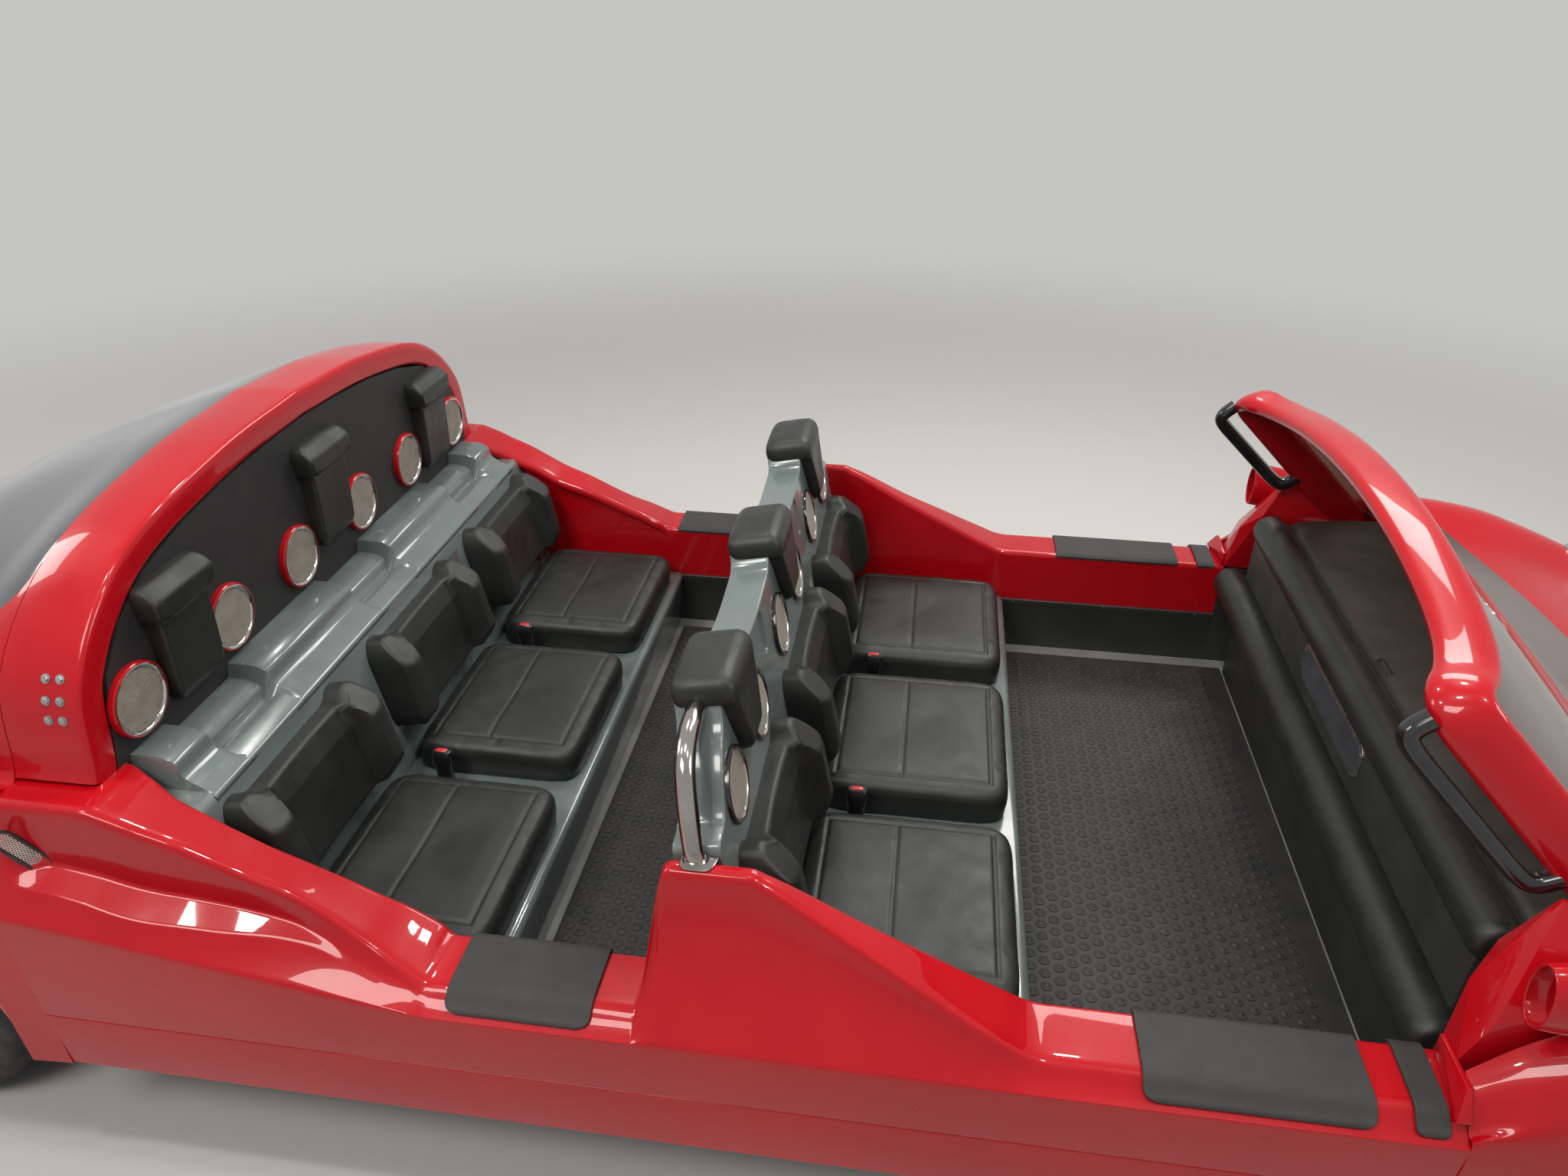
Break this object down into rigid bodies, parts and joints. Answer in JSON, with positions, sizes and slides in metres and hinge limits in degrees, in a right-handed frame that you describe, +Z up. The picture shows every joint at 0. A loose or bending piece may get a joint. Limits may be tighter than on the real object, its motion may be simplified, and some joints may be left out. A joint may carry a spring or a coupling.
{
  "type": "open ride car",
  "caption": "Open roadster-shaped ride car with two rows of seats, a rear headrest hoop, a raked windscreen and steered rubber-tyred wheels.",
  "frame": {"origin": "on the ground under the middle of the car's length and width, at the bottom centre of its box", "axes": "+X forward along the car's length, +Y to the car's left side, +Z up"},
  "size_m": [5.3, 2, 1.2619],
  "materials": {
    "red_body": "glossy",
    "seat_shell": "glossy",
    "seat_pad": "satin",
    "dash_skin": "satin",
    "bulkhead_skin": "matte",
    "dark_glass": "glossy",
    "clear_glass": "glossy",
    "bright_steel": "polished",
    "frame_paint": "satin",
    "cast_parts": "satin",
    "floor_paint": "satin",
    "floor_mat": "matte",
    "sill_rubber": "matte",
    "tyre": "matte",
    "rim": "satin",
    "speaker_mesh": "satin",
    "handle_plastic": "glossy",
    "webbing": "matte",
    "buckle_plastic": "satin",
    "mirror_plate": "polished",
    "lamp_lens": "glossy",
    "red_lens": "glossy",
    "motor_paint": "satin"
  },
  "bodies": {
    "car": {"chassis_frame": "frame_paint", "cross_members": "frame_paint", "floor_pan": "floor_paint", "floor_mats": "floor_mat", "side_skirts": "red_body", "body_side_left": "red_body", "body_side_right": "red_body", "sill_pads": "sill_rubber", "nose": "red_body", "tail": "red_body", "rear_hoop": "red_body", "rear_bulkhead": "bulkhead_skin", "rear_window": "dark_glass", "windscreen_frame": "red_body", "windscreen": "clear_glass", "pillar_bases": "red_body", "arch_handles": "handle_plastic", "mirror_pods": "red_body", "mirrors": "mirror_plate", "dash_panel": "dash_skin", "dash_top": "dash_skin", "knee_rolls": "dash_skin", "front_seat_shell": "seat_shell", "rear_seat_shell": "seat_shell", "seat_cushions": "seat_pad", "backrests": "seat_pad", "headrests": "seat_pad", "speakers": "speaker_mesh", "grab_bars": "bright_steel", "belts": "webbing", "grilles": "speaker_mesh", "headlamps": "lamp_lens", "tail_lamps": "red_lens", "motor": "motor_paint", "rear_axle": "cast_parts", "front_beam": "cast_parts", "guide_shoes": "cast_parts"},
    "knuckle_left": {"knuckle_left": "cast_parts"},
    "knuckle_right": {"knuckle_right": "cast_parts"},
    "tie_rod": {"tie_rod": "cast_parts"},
    "front_left_wheel": {"wheel_front_left": "rim", "tyre_front_left": "tyre"},
    "front_right_wheel": {"wheel_front_right": "rim", "tyre_front_right": "tyre"},
    "rear_left_wheel": {"wheel_rear_left": "rim", "tyre_rear_left": "tyre"},
    "rear_right_wheel": {"wheel_rear_right": "rim", "tyre_rear_right": "tyre"}
  },
  "joints": [
    {"name": "steer_left", "type": "hinge", "parent": "car", "child": "knuckle_left", "pos_m": [1.85, 0.76, 0.305], "axis": [0, 0, 1], "range_deg": [-20, 20]},
    {"name": "steer_right", "type": "hinge", "parent": "car", "child": "knuckle_right", "pos_m": [1.85, -0.76, 0.305], "axis": [0, 0, 1], "range_deg": [-20, 20]},
    {"name": "rod_swing", "type": "hinge", "parent": "knuckle_left", "child": "tie_rod", "pos_m": [1.725, 0.76, 0.3795], "axis": [0, 0, 1], "range_deg": [-20, 20]},
    {"name": "spin_front_left", "type": "hinge", "parent": "knuckle_left", "child": "front_left_wheel", "pos_m": [1.85, 0.84, 0.305], "axis": [0, 1, 0], "continuous": true},
    {"name": "spin_front_right", "type": "hinge", "parent": "knuckle_right", "child": "front_right_wheel", "pos_m": [1.85, -0.84, 0.305], "axis": [0, 1, 0], "continuous": true},
    {"name": "spin_rear_left", "type": "hinge", "parent": "car", "child": "rear_left_wheel", "pos_m": [-1.6, 0.84, 0.305], "axis": [0, 1, 0], "continuous": true},
    {"name": "spin_rear_right", "type": "hinge", "parent": "car", "child": "rear_right_wheel", "pos_m": [-1.6, -0.84, 0.305], "axis": [0, 1, 0], "continuous": true}
  ],
  "couplings": [
    {"joint": "steer_right", "follows": "steer_left", "ratio": 1},
    {"joint": "rod_swing", "follows": "steer_left", "ratio": -1}
  ]
}
